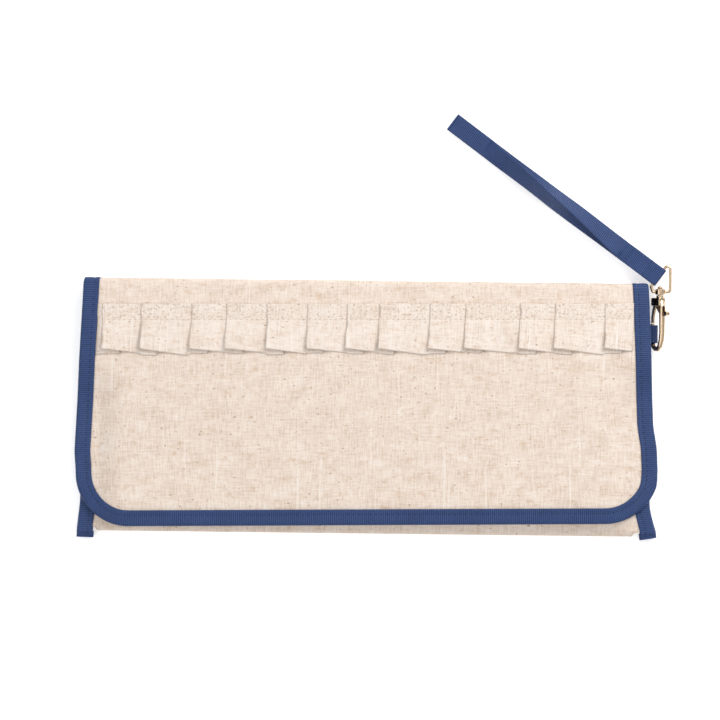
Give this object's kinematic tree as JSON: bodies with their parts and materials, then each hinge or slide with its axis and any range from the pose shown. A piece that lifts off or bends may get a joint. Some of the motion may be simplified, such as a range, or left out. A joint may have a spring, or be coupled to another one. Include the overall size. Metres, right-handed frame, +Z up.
{
  "type": "brush case",
  "caption": "Flat fold-over brush case in bound linen, with a ruffled flap, a slotted pocket and a ribbon wrist strap on a swivel clasp.",
  "frame": {"origin": "middle of the back panel's outer face, which the case rests on", "axes": "+X along the case's width towards the clasp, +Y from the bottom fold to the top fold, +Z up, from the back panel to the flap"},
  "size_m": [0.2978, 0.2138, 0.0152],
  "materials": {
    "linen": "slubby natural linen",
    "wadding": "soft white wadding",
    "lining": "plain navy cotton",
    "ribbon": "ribbed navy grosgrain",
    "pale_gold": "polished pale gold plate",
    "steel": "plain"
  },
  "bodies": {
    "case": {"back_outer": "linen", "back_interlining": "wadding", "back_lining": "lining", "front_outer": "linen", "front_interlining": "wadding", "front_lining": "lining", "pocket_mouth_binding": "ribbon", "bottom_fold": "linen", "left_side_binding": "ribbon", "right_side_binding": "ribbon", "brush_sleeve": "lining", "pocket_magnet": "steel", "side_tab": "ribbon", "spine_outer": "linen", "spine_interlining": "wadding", "spine_lining": "lining", "left_spine_binding": "ribbon", "right_spine_binding": "ribbon"},
    "flap": {"flap_outer": "linen", "flap_interlining": "wadding", "flap_lining": "lining", "flap_binding": "ribbon", "fold_bend": "linen", "ruffle": "linen", "flap_magnet": "steel"},
    "hook": {"hook_body": "pale_gold", "swivel_rivet": "pale_gold", "gate_pin": "steel", "gate_spring": "steel"},
    "gate": {"gate_lever": "pale_gold"},
    "eye": {"swivel_eye": "pale_gold"},
    "strap": {"strap_lower_run": "ribbon", "strap_upper_run": "ribbon", "strap_far_fold": "ribbon", "strap_wrap": "ribbon"}
  },
  "joints": [
    {"name": "flap_fold", "type": "hinge", "parent": "case", "child": "flap", "pos_m": [0, 0.0618, 0.0118], "axis": [-1, 0, 0], "range_deg": [0, 170]},
    {"name": "clasp_swing", "type": "hinge", "parent": "case", "child": "hook", "pos_m": [0.14359, 0.0379, 0.00285], "axis": [0, 1, 0], "range_deg": [0, 55]},
    {"name": "gate_swing", "type": "hinge", "parent": "hook", "child": "gate", "pos_m": [0.14491, 0.0537, 0.00473], "axis": [-0.8192, 0, 0.5736], "range_deg": [0, 15], "stiffness_Nm_per_rad": 0.002, "springref_deg": -20.05},
    {"name": "eye_swivel", "type": "hinge", "parent": "hook", "child": "eye", "pos_m": [0.1468, 0.0591, 0.00743], "axis": [0, 1, 0], "continuous": true},
    {"name": "strap_swing", "type": "hinge", "parent": "eye", "child": "strap", "pos_m": [0.1458, 0.0667, 0.00743], "axis": [0.5948, 0.8039, 0], "range_deg": [0, 120]}
  ]
}
